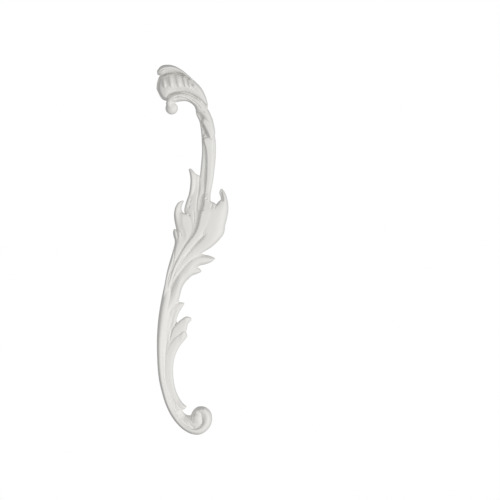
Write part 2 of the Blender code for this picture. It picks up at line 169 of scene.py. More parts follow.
# Outer strip of the upper stem, from under the leaf wraps down into the large lobe
STEM = (
    (30.5, 312.1, 57.4, 322.9, 59),
    (29.6, 294.6, 62.8, 296.0, 78),
    (35.6, 274.4, 63.6, 271.7, 74),
    (38.5, 247.4, 62.5, 242.0, 74),
    (38.5, 215.1, 59.6, 215.1, 74),
    (37.7, 188.1, 56.1, 188.1, 78),
    (34.5, 161.2, 51.5, 162.5, 81),
    (31.8, 139.6, 48.8, 145.0, 89),
    (31.3, 127.5, 49.6, 131.5, 93),
    (29.6, 116.7, 56.1, 120.8, 96),
    (23.7, 96.5, 58.8, 96.5, 100),
)

# Lower of the two leaf wraps that clasp the upper stem
WRAP_LOW = (
    (31.8, 367.4, 43.9, 370.1, 70),
    (28.0, 352.6, 55.0, 353.1, 92),
    (24.8, 346.1, 56.3, 347.2, 96),
    (30.2, 333.7, 59.3, 333.7, 100),
    (39.9, 316.2, 61.5, 314.8, 100),
    (46.9, 301.3, 56.1, 294.6, 96),
)

# Low strip along the inner side of the upper stem
INNER_STEM = (
    (9.2, 382.2, 34.5, 387.6, 100),
    (10.2, 367.4, 42.6, 371.4, 94),
    (18.9, 347.2, 48.0, 347.2, 88),
    (23.5, 320.2, 50.7, 320.2, 75),
    (25.6, 290.6, 50.7, 290.6, 75),
    (26.1, 263.6, 50.7, 263.6, 75),
    (24.0, 234.0, 48.0, 234.0, 75),
    (21.6, 209.7, 45.3, 209.7, 75),
    (19.1, 182.7, 42.6, 182.7, 81),
    (15.6, 155.8, 39.9, 155.8, 100),
    (10.2, 126.1, 34.5, 126.1, 100),
    (7.5, 99.2, 26.4, 99.2, 88),
)

# Tall leaf beside the stem, with a hooked tip
CENTRE_LEAF = (
    (-9.7, 217.8, -4.3, 219.7, 42),
    (-7.0, 207.0, 10.2, 204.9, 50),
    (-4.9, 192.2, 22.4, 197.6, 55),
    (-5.4, 174.7, 30.5, 174.7, 62),
    (-8.6, 153.1, 37.2, 153.1, 70),
    (-14.0, 134.2, 41.2, 134.2, 80),
    (-20.5, 112.7, 41.2, 112.7, 92),
    (-18.1, 93.8, 37.2, 93.8, 98),
    (-10.0, 72.2, 34.5, 72.2, 100),
    (-11.3, 48.0, 27.8, 42.6, 100),
    (-22.1, 23.7, 14.3, 15.6, 98),
    (-31.5, -0.5, -4.6, -11.3, 93),
    (-41.0, -22.1, -20.8, -32.9, 83),
    (-49.1, -43.7, -34.2, -54.4, 67),
)

# Raised rib along the outer edge of the tall leaf
LEAF_RIDGE = (
    (-10.0, 217.3, -4.9, 219.9, 67),
    (-7.3, 207.0, 3.8, 211.6, 89),
    (-5.1, 192.2, 8.9, 196.2, 100),
    (-5.7, 174.7, 9.4, 174.7, 100),
    (-8.9, 153.1, 7.5, 153.1, 100),
    (-13.2, 136.9, 6.2, 136.9, 89),
)

# Oval swelling at the foot of the tall leaf
POUCH = (
    (-10.5, 146.4, 7.0, 145.0, 80),
    (-15.9, 131.5, 10.2, 130.2, 100),
    (-20.8, 114.0, 10.2, 114.0, 100),
    (-20.5, 100.5, 4.9, 97.8, 95),
    (-11.3, 91.1, -3.2, 86.3, 70),
)

# Outer lobe with its hooked tip, and the strand that runs down from it
LEFT_LOBE = (
    (-25.3, 133.7, -23.2, 131.8, 58),
    (-37.5, 127.8, -27.2, 123.5, 79),
    (-45.3, 115.9, -29.6, 112.7, 88),
    (-49.1, 99.2, -24.8, 100.3, 96),
    (-48.8, 83.0, 2.2, 95.1, 100),
    (-45.8, 66.8, 18.3, 79.0, 100),
    (-43.1, 53.4, 22.4, 56.1, 100),
    (-43.7, 34.5, 12.9, 27.8, 100),
    (-48.2, 12.9, -4.6, 0.8, 100),
    (-54.2, -8.6, -19.4, -20.8, 100),
    (-60.6, -30.2, -33.4, -41.8, 96),
    (-66.6, -51.8, -49.1, -58.5, 92),
    (-71.7, -76.0, -57.1, -85.4, 88),
    (-76.0, -100.3, -63.9, -109.7, 83),
    (-79.8, -124.5, -69.3, -132.6, 75),
    (-84.1, -151.5, -76.0, -156.9, 50),
)

# Small barb below the outer lobe
LEFT_TIP = (
    (-49.6, 56.9, -46.9, 56.1, 73),
    (-52.0, 48.0, -37.7, 48.0, 86),
    (-50.7, 37.2, -32.9, 34.5, 95),
    (-47.2, 23.7, -31.5, 18.3, 100),
    (-49.3, 7.5, -36.9, 2.2, 100),
)

# Large inner lobe with its hooked tip, down to its strand
RIGHT_LOBE = (
    (77.1, 164.7, 81.9, 163.9, 60),
    (73.0, 155.3, 88.1, 154.7, 77),
    (76.5, 142.3, 93.3, 141.2, 87),
    (76.5, 134.8, 94.9, 134.2, 90),
    (70.1, 129.4, 96.0, 128.8, 93),
    (64.7, 122.4, 96.8, 121.8, 95),
    (37.2, 111.3, 97.0, 104.6, 100),
    (29.1, 101.9, 93.8, 85.7, 100),
    (21.0, 77.6, 88.9, 66.8, 100),
    (18.3, 53.4, 84.4, 42.6, 100),
    (23.7, 35.8, 70.4, 24.5, 97),
    (12.9, 21.0, 52.0, 7.5, 90),
    (-1.9, 4.9, 30.5, -5.9, 83),
    (-16.7, -11.3, 10.2, -19.4, 80),
    (-31.5, -28.8, -11.3, -39.6, 77),
    (-45.0, -49.1, -30.2, -59.8, 73),
    (-55.8, -70.6, -45.6, -78.7, 70),
    (-63.9, -94.9, -56.6, -100.3, 63),
    (-69.3, -116.4, -63.9, -121.8, 47),
)

# Strand beside the large lobe, from the stem down
VEIN = (
    (34.5, 161.2, 50.1, 161.2, 60),
    (32.6, 141.8, 48.8, 142.3, 83),
    (31.3, 129.9, 50.4, 131.0, 88),
    (29.6, 120.8, 61.5, 122.4, 92),
    (21.8, 101.9, 66.8, 101.9, 100),
    (17.3, 81.7, 61.5, 80.3, 100),
    (13.5, 61.5, 48.0, 58.8, 100),
    (6.2, 44.5, 34.5, 41.2, 97),
    (-5.4, 27.8, 19.7, 23.7, 93),
    (-17.5, 12.1, 4.9, 7.5, 90),
    (-28.3, -4.6, -10.0, -8.6, 87),
    (-39.1, -24.8, -24.0, -28.8, 83),
    (-49.9, -46.4, -37.2, -50.4, 80),
    (-58.8, -70.6, -50.1, -74.7, 73),
    (-65.8, -97.6, -59.3, -100.3, 67),
    (-70.6, -121.8, -66.6, -124.5, 47),
)

# Small tooth between the stem and the large hook
TOOTH = (
    (51.2, 129.6, 57.7, 128.3, 70),
    (48.0, 126.1, 61.2, 125.1, 83),
    (42.6, 118.1, 72.2, 118.1, 93),
    (34.5, 99.2, 84.4, 100.5, 100),
    (31.8, 77.6, 80.3, 77.6, 80),
)

# Pointed lobe below the large one, and its strand
LOW_LOBE = (
    (60.1, -22.1, 61.5, -25.3, 52),
    (50.7, -17.3, 50.7, -32.9, 74),
    (34.5, -13.5, 35.8, -39.1, 87),
    (17.0, -10.8, 18.3, -43.4, 96),
    (-1.1, -14.0, 4.9, -55.8, 100),
    (-16.7, -26.1, -5.1, -72.2, 100),
    (-30.2, -43.7, -18.1, -86.3, 96),
    (-41.5, -63.9, -28.0, -103.0, 96),
    (-52.3, -86.8, -33.7, -124.5, 91),
    (-61.7, -111.1, -39.9, -142.3, 87),
    (-70.6, -136.7, -54.4, -159.6, 83),
    (-78.2, -165.0, -67.9, -181.1, 74),
    (-83.3, -197.3, -78.7, -208.1, 43),
)

# Small barb under the pointed lobe
LOW_TIP = (
    (23.2, -54.4, 24.8, -59.0, 72),
    (11.1, -46.1, 13.7, -64.4, 89),
    (-4.6, -47.7, 0.0, -69.5, 100),
    (-20.8, -62.5, -14.6, -82.5, 83),
    (-32.9, -81.4, -30.2, -92.2, 44),
)

# Outer rib, from the strands down and around the ring of the foot scroll
BAND = (
    (-72.8, -84.1, -57.1, -97.6, 54),
    (-76.5, -100.3, -52.8, -113.7, 69),
    (-80.9, -120.5, -52.3, -132.6, 77),
    (-88.1, -159.6, -59.8, -165.0, 78),
    (-94.1, -210.8, -69.0, -214.8, 78),
    (-95.7, -248.5, -74.4, -249.9, 78),
    (-95.1, -286.3, -76.0, -286.3, 78),
    (-93.3, -321.3, -74.9, -320.2, 78),
    (-89.5, -353.6, -71.7, -349.9, 79),
    (-81.9, -386.0, -65.2, -379.5, 82),
    (-71.7, -418.3, -56.6, -409.2, 85),
    (-58.8, -445.3, -44.7, -432.9, 88),
    (-42.0, -468.7, -29.6, -454.4, 92),
    (-22.1, -487.1, -12.9, -469.5, 96),
    (-0.5, -497.6, 2.2, -473.3, 100),
    (21.6, -498.4, 14.6, -470.6, 100),
    (40.7, -486.3, 21.0, -464.7, 100),
    (52.8, -464.2, 23.7, -455.5, 100),
    (49.6, -438.3, 22.6, -448.5, 98),
    (33.4, -424.3, 18.3, -442.6, 96),
    (15.6, -423.7, 12.9, -438.3, 92),
    (3.8, -432.3, 8.6, -441.5, 88),
    (-2.7, -444.2, 3.8, -448.0, 77),
    (-4.3, -454.4, 2.2, -457.7, 62),
)

# Low bed of the leaf that lies inside the outer rib
LEAF_BED = (
    (-70.6, -119.1, -36.1, -131.3, 69),
    (-78.7, -159.6, -36.1, -163.6, 67),
    (-85.4, -194.6, -42.6, -196.0, 66),
    (-86.8, -221.6, -26.1, -220.2, 66),
    (-88.1, -256.6, -38.3, -259.3, 67),
    (-88.1, -302.4, -50.7, -302.4, 69),
    (-84.1, -345.6, -51.5, -342.9, 72),
    (-74.7, -381.9, -45.0, -379.2, 74),
    (-63.9, -410.2, -34.2, -407.5, 76),
    (-53.1, -435.8, -28.0, -434.0, 80),
    (-38.3, -458.8, -15.4, -446.1, 91),
    (-10.0, -484.4, 10.2, -448.0, 100),
    (10.2, -485.7, 21.0, -453.4, 74),
)

# First barb of the inner leaf
BARB_HIGH = (
    (-21.6, -143.4, -22.1, -147.2, 62),
    (-32.9, -141.8, -28.0, -156.3, 92),
    (-49.1, -144.5, -36.7, -170.9, 100),
    (-65.2, -158.2, -44.7, -191.9, 95),
    (-74.7, -183.8, -59.8, -213.5, 46),
)

# Second barb of the inner leaf
BARB_MID = (
    (-3.2, -183.8, -2.2, -190.3, 64),
    (-14.0, -180.3, -10.8, -198.4, 93),
    (-28.0, -186.5, -17.0, -220.2, 100),
    (-43.7, -200.0, -31.5, -233.7, 100),
    (-61.2, -220.2, -49.1, -251.2, 86),
    (-74.7, -248.5, -65.2, -275.5, 43),
)

# Third barb of the inner leaf
BARB_LOW = (
    (-13.5, -232.1, -14.6, -236.1, 64),
    (-18.3, -220.2, -22.6, -245.8, 93),
    (-35.6, -227.0, -34.8, -261.5, 100),
    (-54.4, -243.1, -44.7, -281.4, 100),
    (-69.3, -267.4, -50.9, -305.1, 93),
    (-77.4, -294.3, -53.4, -332.1, 79),
    (-78.7, -324.0, -59.8, -361.7, 43),
)

# Last barb, over the foot scroll
BARB_END = (
    (-15.9, -422.9, -17.0, -426.7, 80),
    (-23.2, -417.0, -22.6, -430.5, 96),
    (-32.1, -405.7, -31.3, -434.0, 100),
    (-43.1, -384.6, -46.4, -423.7, 80),
    (-53.1, -356.3, -59.8, -399.5, 40),
)

# Rolled lip over the shell
LIP = (
    (-94.9, 483.6, -94.3, 473.0, 71),
    (-86.8, 494.1, -84.1, 470.4, 91),
    (-66.6, 499.7, -66.6, 475.7, 100),
    (-45.0, 494.9, -46.9, 477.6, 100),
    (-24.8, 483.0, -28.8, 474.9, 97),
    (-10.0, 470.6, -14.0, 465.0, 91),
    (2.2, 459.8, 0.5, 456.6, 82),
)

# Body of the shell, from its free edge down to the stem
BELLY = (
    (-95.7, 449.6, -96.8, 434.8, 42),
    (-91.4, 464.4, -87.3, 414.0, 68),
    (-78.7, 475.2, -72.5, 403.2, 86),
    (-62.5, 481.1, -58.8, 409.7, 97),
    (-43.7, 481.9, -42.6, 415.6, 100),
    (-24.8, 476.5, -24.0, 416.2, 100),
    (-7.3, 465.8, -5.9, 411.3, 98),
    (11.6, 450.9, 10.2, 402.2, 94),
    (26.4, 434.0, 23.2, 391.9, 89),
    (36.4, 413.2, 32.6, 381.1, 84),
    (42.0, 393.0, 39.6, 370.6, 80),
)

# The shell's rounded edge on its right
HOOD = (
    (-10.5, 467.7, -9.2, 441.5, 57),
    (-0.5, 460.4, -2.7, 425.3, 87),
    (11.6, 450.9, 5.9, 410.5, 100),
    (26.4, 434.0, 18.3, 397.3, 99),
    (36.4, 413.2, 28.6, 384.9, 94),
    (42.0, 393.0, 37.2, 373.0, 89),
)

# Scroll band under the shell, from the knob to the stem
SCROLL = (
    (-63.1, 374.1, -49.6, 377.9, 60),
    (-69.0, 386.0, -48.0, 386.5, 74),
    (-70.9, 397.0, -53.1, 391.9, 79),
    (-65.2, 410.2, -51.8, 396.2, 86),
    (-51.8, 419.9, -43.7, 398.7, 93),
    (-32.9, 424.3, -31.5, 401.1, 100),
    (-14.0, 422.1, -16.7, 401.6, 100),
    (4.9, 412.9, -4.6, 396.8, 96),
    (21.6, 401.3, 5.9, 386.5, 95),
    (33.4, 390.3, 10.8, 373.6, 93),
    (44.2, 376.3, 19.4, 366.3, 91),
    (50.7, 362.8, 27.0, 358.0, 90),
    (55.0, 348.8, 32.9, 350.1, 87),
    (56.6, 339.1, 46.4, 340.7, 79),
)

# Centres of the round forms, in thousandths of the height
KNOB_AT = (-55.8, 382.2)
EYE_AT = (14.6, -454.7)
WEB_AT = (21.0, -459.0)

# Middle and half size of the fluted part of the shell, whose forms are worn softer than the rest
SHELL_AT = (-35.0, 447.0)
SHELL_HALF = (48.0, 26.0)

# Flutes of the shell: top x, z and foot x, z and half width in thousandths of the height,
# then the share of the shell's depth they stand on, in hundredths
FLUTES = (
    (-76.5, 463.1, -72.8, 434.5, 7.3, 88),
    (-59.3, 471.7, -55.0, 435.0, 9.7, 97),
    (-40.4, 472.8, -34.5, 435.8, 10.8, 100),
    (-23.7, 468.5, -16.7, 435.8, 7.3, 100.5),
    (-10.8, 459.3, -4.9, 435.8, 5.9, 99.5),
    (0.5, 450.1, 6.5, 435.6, 5.4, 97.5),
)

# Along one flute: how far down it, the share of its half width, and the share of its rise
FLUTE_RUN = (
    (0.0, 0.75, -2.3),
    (0.2, 0.95, -1.0),
    (0.45, 1.0, 0.1),
    (0.75, 0.95, 0.7),
    (0.92, 0.7, 0.25),
    (1.0, 0.35, -0.9),
)

# Fine lines of the carving: 0 for a groove, or 1 or -1 to cut down only the left or right side of the way
# the points go; then half width and depth in metres, and points in thousandths of the height.
FINE_LINES = (
    # Groove along the middle of the lip
    (0, 0.0010, 0.0009, ((-88, 480), (-79, 485), (-65, 488), (-46, 487), (-27, 480), (-11, 469))),
    # Deep slit under the lip
    (0, 0.0012, 0.0036, (
        (-91, 467), (-84, 469), (-76, 472), (-68, 475), (-60, 476), (-52, 477), (-44, 476), (-36, 474),
        (-27, 471),
    )),
    # Shallow end of the same slit
    (0, 0.0010, 0.0015, ((-34, 474), (-27, 471), (-19, 467), (-11, 462), (-5, 458))),
    # Soft fall of the shell under its lip
    (-1, 0.0046, 0.0012, (
        (-92, 465), (-84, 467), (-73, 472), (-60, 474), (-44, 474), (-27, 471), (-14, 463), (-2, 454),
    )),
    # Bead below the flutes
    (0, 0.0007, 0.0005, (
        (-63, 427), (-57, 429), (-46, 431), (-33, 432), (-18, 433), (-5, 431), (8, 425),
    )),
    # Groove between the shell and the scroll band
    (0, 0.0014, 0.0028, (
        (-70, 411), (-64, 416), (-57, 419), (-44, 423), (-30, 424), (-18, 423), (-3, 418), (10, 411),
        (21, 404), (30, 395), (37, 388), (43, 381),
    )),
    # Upper reed line of the scroll band
    (0, 0.0009, 0.0016, (
        (-49, 410), (-41, 413), (-30, 414), (-17, 412), (-6, 407), (5, 399), (16, 390), (24, 380),
    )),
    # Lower reed line of the scroll band
    (0, 0.0008, 0.0011, ((-48, 405), (-40, 407), (-30, 408), (-19, 407), (-9, 403), (2, 395))),
    # Edge of the lower wrap
    (-1, 0.0026, 0.0036, ((24, 349), (29, 338), (35, 327), (40, 315), (44, 302))),
    # Curl under the lower wrap
    (0, 0.0009, 0.0020, ((43, 304), (37, 304), (33, 302), (29, 297), (29, 292), (31, 287))),
    # Inner edge of the outer stem strip
    (-1, 0.0010, 0.0005, (
        (30, 293), (33, 284), (37, 272), (38, 253), (38, 229), (38, 202), (37, 175), (35, 156), (34, 141),
    )),
    # Inner edge of the large lobe and its strand
    (-1, 0.0012, 0.0005, (
        (36, 137), (32, 128), (30, 118), (26, 107), (20, 102), (17, 92), (16, 77), (13, 63), (9, 47),
        (1, 34), (-10, 23), (-18, 11), (-27, -1), (-36, -13), (-42, -25), (-48, -38), (-52, -52),
    )),
    # Nick where the stem meets the lobe
    (0, 0.0009, 0.0014, ((43, 140), (39, 138), (34, 135))),
    # Nick lower on the same edge
    (0, 0.0009, 0.0012, ((32, 108), (26, 106), (22, 103))),
    # Groove on the far side of the strand
    (0, 0.0011, 0.0011, (
        (39, 46), (30, 35), (23, 27), (13, 18), (1, 6), (-10, -4), (-20, -15), (-27, -23), (-32, -32),
        (-41, -46), (-46, -57), (-51, -71), (-56, -87),
    )),
    # Fine groove by the outer edge
    (0, 0.0008, 0.0008, (
        (-45, 18), (-47, 2), (-49, -17), (-52, -36), (-57, -53), (-63, -69), (-68, -89),
    )),
    # Middle fine groove
    (0, 0.0008, 0.0007, ((-42, -23), (-46, -36), (-51, -50), (-57, -67), (-62, -87))),
    # Crease from the small barb
    (0, 0.0009, 0.0008, ((-44, 59), (-40, 53), (-32, 46), (-29, 36))),
    # Line between the tall leaf and the inner stem
    (0, 0.0010, 0.0010, ((18, 199), (18, 177), (18, 157), (14, 140), (12, 121), (12, 99))),
    # Fine flute of the outer lobe
    (0, 0.0007, 0.0005, ((3, 105), (5, 88), (5, 70))),
    # Drilled hollow in the swelling of the tall leaf
    (0, 0.0009, 0.0013, ((-3, 137), (-5, 132), (-6, 126))),
    # Second hollow in the same swelling
    (0, 0.0009, 0.0007, ((-9, 120), (-9, 111))),
    # Drilled hollow where the outer lobe meets the tall leaf
    (0, 0.0010, 0.0014, ((-12, 97), (-9, 94), (-5, 91))),
    # Hollow inside the hook of the large lobe
    (0, 0.0017, 0.0020, ((77, 159), (79, 149), (81, 140), (82, 130))),
    # Short fold below the tooth
    (0, 0.0010, 0.0005, ((65, 125), (63, 118), (61, 109))),
    # Short fold below the stem's right side
    (0, 0.0010, 0.0005, ((55, 128), (53, 119), (51, 110))),
    # Upper edge of the middle barb
    (-1, 0.0022, 0.0014, ((-34, -191), (-40, -196), (-46, -204), (-52, -215), (-57, -230), (-60, -246))),
    # Hollow down from the high barb
    (0, 0.0022, 0.0006, ((-44, -157), (-49, -170), (-54, -187), (-58, -205), (-60, -227))),
    # Lower edge of the end barb
    (0, 0.0008, 0.0007, ((-23, -429), (-34, -429), (-44, -427), (-53, -419))),
    # Soft groove beside the rib
    (0, 0.0014, 0.0006, (
        (-64, -216), (-70, -254), (-73, -292), (-74, -329), (-72, -362), (-68, -391), (-60, -416),
        (-52, -433), (-41, -449),
    )),
    # Short streak above the end barb
    (0, 0.0008, 0.0005, ((-56, -399), (-50, -408), (-44, -418))),
    # Bevel along the outer stem strip
    (0, 0.0009, 0.0004, ((55, 334), (56, 309), (56, 277), (56, 247), (54, 215), (51, 180), (48, 148))),
    # Soft hollow down the outer lobe
    (0, 0.0034, 0.0007, ((-32, 113), (-34, 99), (-35, 83), (-33, 64), (-26, 45), (-27, 21))),
    # Edge of the upper wrap
    (-1, 0.0022, 0.0034, ((11, 373), (15, 368), (20, 364), (26, 358), (31, 352))),
    # Curl above the upper wrap
    (0, 0.0008, 0.0010, ((9, 381), (13, 377), (20, 374), (27, 373), (36, 370))),
    # Inner wall of the foot's scroll
    (-1, 0.0030, 0.0034, (
        (23, -440), (28, -449), (31, -458), (31, -466), (27, -474), (20, -480), (9, -484), (1, -483),
        (-7, -481),
    )),
    # Soft groove down to the foot's scroll
    (0, 0.0020, 0.0010, ((8, -479), (-3, -478), (-13, -474), (-23, -466), (-32, -458), (-38, -450))),
    # Rounding of the shell's left side
    (0, 0.0040, 0.0060, (
        (-87, 464), (-94, 456), (-98, 444), (-98, 431), (-94, 419), (-87, 408), (-77, 401),
    )),
    # Rounding of the top of the foot's scroll
    (0, 0.0042, 0.0050, ((-3, -449), (-2, -439), (3, -429), (12, -423), (22, -421), (33, -424))),
    # Hollow above the foot's band
    (0, 0.0060, 0.0030, ((-33, -433), (-26, -441), (-19, -446), (-11, -449), (-2, -448))),
    # Rounding of the low lobe's top
    (0, 0.0024, 0.0016, ((16, -18), (24, -15), (39, -15), (51, -18), (60, -23))),
    # Streak on the low lobe
    (0, 0.0009, 0.0006, ((-26, -48), (-18, -40), (-9, -33), (1, -27))),
    # Left side of the eye
    (-1, 0.0020, 0.0014, ((4, -435), (-1, -443), (-2, -451), (-1, -461), (5, -467))),
)


def smooth_rows(rows, steps):
    """Stations along a smooth curve through the rows, which are points or stations with two sides."""
    rows = np.array(rows, dtype=float)
    two_sided = rows.shape[1] > 2
    middle = (rows[:, 0:2] + rows[:, 2:4]) / 2.0 if two_sided else rows
    gaps = np.linalg.norm(np.diff(middle, axis=0), axis=1)
    where = np.concatenate(([0.0], np.cumsum(np.maximum(gaps, 1.0))))
    slopes = np.gradient(rows, where, axis=0)
    result = []
    for index in range(len(rows) - 1):
        length = where[index + 1] - where[index]
        for step in range(steps):
            t = step / steps
            start = (1 + 2 * t) * (1 - t) ** 2
            finish = t * t * (3 - 2 * t)
            leave = t * (1 - t) ** 2 * length
            arrive = t * t * (t - 1) * length
            result.append(
                start * rows[index] + finish * rows[index + 1]
                + leave * slopes[index] + arrive * slopes[index + 1]
            )
    result.append(rows[-1])
    return np.array(result)


def read_places(obj):
    """The object's vertex places as an array."""
    places = np.empty(len(obj.data.vertices) * 3)
    obj.data.vertices.foreach_get("co", places)
    return places.reshape(-1, 3)


def write_places(obj, places):
    """Puts the vertices at the given places."""
    obj.data.vertices.foreach_set("co", np.ascontiguousarray(places).ravel())
    obj.data.update()


def select_only(obj):
    """Makes the object the only one selected, and active."""
    bpy.ops.object.select_all(action="DESELECT")
    obj.select_set(True)
    bpy.context.view_layer.objects.active = obj


def close_to_back():
    """Extrudes the whole active sheet and presses the copy flat behind the back plane."""
    bpy.ops.object.mode_set(mode="EDIT")
    bpy.ops.mesh.select_all(action="SELECT")
    bpy.ops.mesh.extrude_region_move(TRANSFORM_OT_translate={"value": (0.0, 0.0, 0.0)})
    bpy.ops.transform.resize(value=(1.0, 0.0, 1.0), center_override=(0.0, BACKING, 0.0))
    bpy.ops.mesh.select_all(action="SELECT")
    bpy.ops.mesh.normals_make_consistent(inside=False)
    bpy.ops.object.mode_set(mode="OBJECT")


def moulded_form(name, rows, depth, crest=0.5, fullness=2.2):
    """One form of the relief: a grid bent through its stations and closed to the back."""
    stations = smooth_rows(rows, ALONG)
    bpy.ops.object.select_all(action="DESELECT")
    bpy.ops.mesh.primitive_grid_add(x_subdivisions=ACROSS, y_subdivisions=len(stations) - 1, size=1.0)
    form = bpy.context.object
    form.name = name
    places = read_places(form)
    angle = np.pi * (places[:, 0] + 0.5)
    across = 0.5 - 0.5 * np.cos(angle)
    row = stations[np.rint((places[:, 1] + 0.5) * (len(stations) - 1)).astype(int)]
    off = np.where(across < crest, (crest - across) / crest, (across - crest) / (1.0 - crest))
    rise = np.maximum(0.0, 1.0 - np.clip(off, 0.0, 1.0) ** fullness) ** (1.0 / fullness)
    top = depth * row[:, 4] / 100.0
    edge = np.minimum(EDGE_DEPTH, EDGE_SHARE * top)
    places[:, 0] = (row[:, 0] + (row[:, 2] - row[:, 0]) * across) * THOUSANDTH
    places[:, 1] = -(edge + (top - edge) * rise)
    places[:, 2] = (row[:, 1] + (row[:, 3] - row[:, 1]) * across) * THOUSANDTH
    write_places(form, places)
    close_to_back()
    return form


def ball_end(name, centre, radius, depth, bow):
    """A bowed cap standing out of the relief, on a round post down to the back."""
    x, z = centre[0] * THOUSANDTH, centre[1] * THOUSANDTH
    bpy.ops.object.select_all(action="DESELECT")
    bpy.ops.mesh.primitive_uv_sphere_add(
        segments=BALL_SEGMENTS, ring_count=BALL_RINGS, radius=radius,
        location=(x, 0.0, z), rotation=(math.pi / 2.0, 0.0, 0.0),
    )
    ball = bpy.context.object
    ball.name = name
    bpy.ops.object.transform_apply(location=True, rotation=True, scale=True)
    places = read_places(ball)
    forward = places[:, 1] <= TOLERANCE
    lifted = -(depth - bow) + places[:, 1] * bow / radius
    places[:, 1] = np.where(forward, lifted, BACKING)
    write_places(ball, places)
    return ball


def between(first, last, part):
    """The point that lies at the given share of the way from first to last."""
    return tuple(a + (b - a) * part for a, b in zip(first, last))


def shell_flutes():
    """The row of rounded flutes down the shell, under its lip."""
    depth = SHELL_DEPTH + FLUTE_RISE
    flutes = []
    for top_x, top_z, foot_x, foot_z, half_width, stand in FLUTES:
        rows = []
        for down, width, rise in FLUTE_RUN:
            x, z = between((top_x, top_z), (foot_x, foot_z), down)
            half = half_width * width
            level = (SHELL_DEPTH * stand + 100.0 * FLUTE_RISE * rise) / depth
            rows.append((x - half, z, x + half, z, level))
        flutes.append(moulded_form(f"flute_{len(flutes) + 1}", rows, depth, fullness=2.4))
    return flutes


def relief_forms():
    """Every form of the relief, each closed by itself."""
    forms = [
        moulded_form("rib", BAND, RIB_DEPTH, crest=0.42, fullness=2.1),
        moulded_form("leaf_bed", LEAF_BED, BED_DEPTH, fullness=3.5),
        moulded_form("low_lobe", LOW_LOBE, LOW_LOBE_DEPTH, crest=0.55),
        moulded_form("low_tip", LOW_TIP, LOW_TIP_DEPTH),
        moulded_form("outer_lobe", LEFT_LOBE, OUTER_LOBE_DEPTH, crest=0.3, fullness=3.0),
        moulded_form("barb_tip", LEFT_TIP, BARB_TIP_DEPTH),
        moulded_form("tall_leaf", CENTRE_LEAF, TALL_LEAF_DEPTH, fullness=3.5),
        moulded_form("leaf_ridge", LEAF_RIDGE, LEAF_RIDGE_DEPTH, crest=0.4),
        moulded_form("pouch", POUCH, POUCH_DEPTH, crest=0.28, fullness=2.8),
        moulded_form("inner_stem", INNER_STEM, INNER_STEM_DEPTH, crest=0.35, fullness=3.0),
        moulded_form("stem", STEM, STEM_DEPTH, crest=0.2, fullness=3.8),
        moulded_form("large_lobe", RIGHT_LOBE, LARGE_LOBE_DEPTH, crest=0.45, fullness=3.4),
        moulded_form("strand", VEIN, STRAND_DEPTH, crest=0.2, fullness=4.0),
        moulded_form("tooth", TOOTH, TOOTH_DEPTH, fullness=4.0),
        moulded_form("low_wrap", WRAP_LOW, WRAP_DEPTH, crest=0.3, fullness=3.0),
        moulded_form("scroll", SCROLL, SCROLL_DEPTH, crest=0.45, fullness=2.6),
        moulded_form("belly", BELLY, SHELL_DEPTH, crest=0.58, fullness=1.6),
        moulded_form("hood", HOOD, HOOD_DEPTH, crest=0.4, fullness=2.6),
        moulded_form("lip", LIP, SHELL_DEPTH + LIP_RISE, fullness=2.0),
        moulded_form("barb_high", BARB_HIGH, BARB_DEPTH),
        moulded_form("barb_mid", BARB_MID, BARB_DEPTH, crest=0.24, fullness=2.6),
        moulded_form("barb_low", BARB_LOW, BARB_DEPTH, crest=0.24, fullness=2.6),
        moulded_form("barb_end", BARB_END, END_BARB_DEPTH),
        ball_end("knob", KNOB_AT, KNOB_RADIUS, KNOB_DEPTH, KNOB_RADIUS),
        ball_end("eye", EYE_AT, EYE_RADIUS, EYE_DEPTH, EYE_BOW),
        ball_end("foot_web", WEB_AT, WEB_RADIUS, WEB_DEPTH, WEB_BOW),
    ]
    return forms + shell_flutes()


def cast_in_one(forms):
    """Joins the forms, runs them into one skin and eases their inner corners as a mould does."""
    bpy.ops.object.select_all(action="DESELECT")
    for form in forms:
        form.select_set(True)
    bpy.context.view_layer.objects.active = forms[0]
    bpy.ops.object.join()
    cast = bpy.context.object
    cast.name = "moulded_relief"
    skin = cast.modifiers.new("skin", "REMESH")
    skin.mode = "VOXEL"
    skin.voxel_size = VOXEL
    bpy.ops.object.modifier_apply(modifier=skin.name)
    ease_corners(cast, "eased_corners", MOULD_ROUNDS)
    return cast


def ease_corners(cast, name, rounds, group=""):
    """Smooths the mesh the given number of times, in one group of vertices or all over."""
    ease = cast.modifiers.new(name, "SMOOTH")
    ease.factor = EASE_FACTOR
    ease.iterations = rounds
    ease.vertex_group = group
    bpy.ops.object.modifier_apply(modifier=ease.name)


def soften_shell(cast):
    """Wears the flutes of the shell softer, fading out at the rim of that part."""
    places = read_places(cast)
    flat = places[:, [0, 2]] / THOUSANDTH
    off = np.linalg.norm((flat - np.array(SHELL_AT)) / np.array(SHELL_HALF), axis=1)
    weight = np.clip((1.0 - off) * min(SHELL_HALF) * THOUSANDTH / SHELL_SOFTNESS, 0.0, 1.0)
    group = cast.vertex_groups.new(name="soft_shell")
    for level in range(1, SHELL_LEVELS + 1):
        ring = np.where(np.rint(weight * SHELL_LEVELS) == level)[0]
        group.add(ring.tolist(), level / SHELL_LEVELS, "REPLACE")
    ease_corners(cast, "worn_shell", SHELL_ROUNDS, group="soft_shell")
    cast.vertex_groups.clear()


